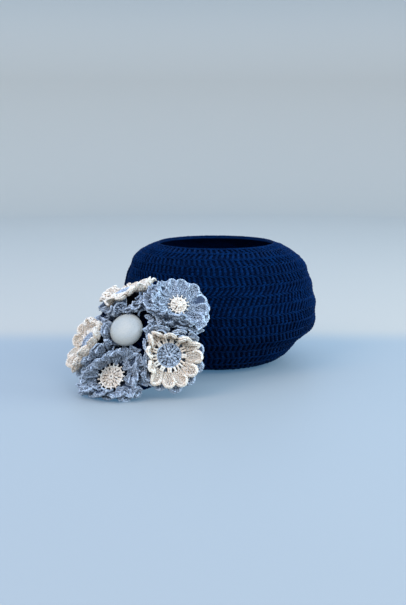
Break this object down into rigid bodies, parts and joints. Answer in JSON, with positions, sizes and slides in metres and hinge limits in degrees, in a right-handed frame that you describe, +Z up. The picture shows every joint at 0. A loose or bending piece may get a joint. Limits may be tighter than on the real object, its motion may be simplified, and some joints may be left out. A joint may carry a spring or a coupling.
{
  "type": "crocheted tea cosy with flowered lid cover",
  "caption": "Crocheted cover for a round teapot, open at neck and hem with slits for spout and handle, and beside it the pot lid's own cover, ringed with double flowers round a white knob.",
  "frame": {"origin": "on the table, on the axis of the pot cover, where the middle of the teapot's foot stands", "axes": "+Z up; +X towards the spout slit, -X towards the handle slits; -Y towards the front, where the lid cover leans against the pot cover"},
  "size_m": [0.2007, 0.2299, 0.1026],
  "materials": {
    "navy_cotton": "matt crocheted cotton yarn, navy",
    "grey_cotton": "crocheted cotton yarn with a slight sheen, blue grey",
    "cream_cotton": "crocheted cotton yarn with a slight sheen, cream",
    "white_glaze": "smooth white glaze"
  },
  "bodies": {
    "root": {"pot_cover": "navy_cotton", "lid_cover": "navy_cotton", "lid_knob": "white_glaze", "flower_upper_right_back": "grey_cotton", "flower_upper_right_front": "grey_cotton", "flower_upper_right_centre": "cream_cotton", "flower_lower_right_back": "grey_cotton", "flower_lower_right_front": "cream_cotton", "flower_lower_right_centre": "grey_cotton", "flower_lower_left_back": "grey_cotton", "flower_lower_left_front": "grey_cotton", "flower_lower_left_centre": "cream_cotton", "flower_left_back": "grey_cotton", "flower_left_front": "cream_cotton", "flower_left_centre": "grey_cotton", "flower_top_back": "grey_cotton", "flower_top_front": "cream_cotton", "flower_top_centre": "grey_cotton"}
  },
  "joints": []
}
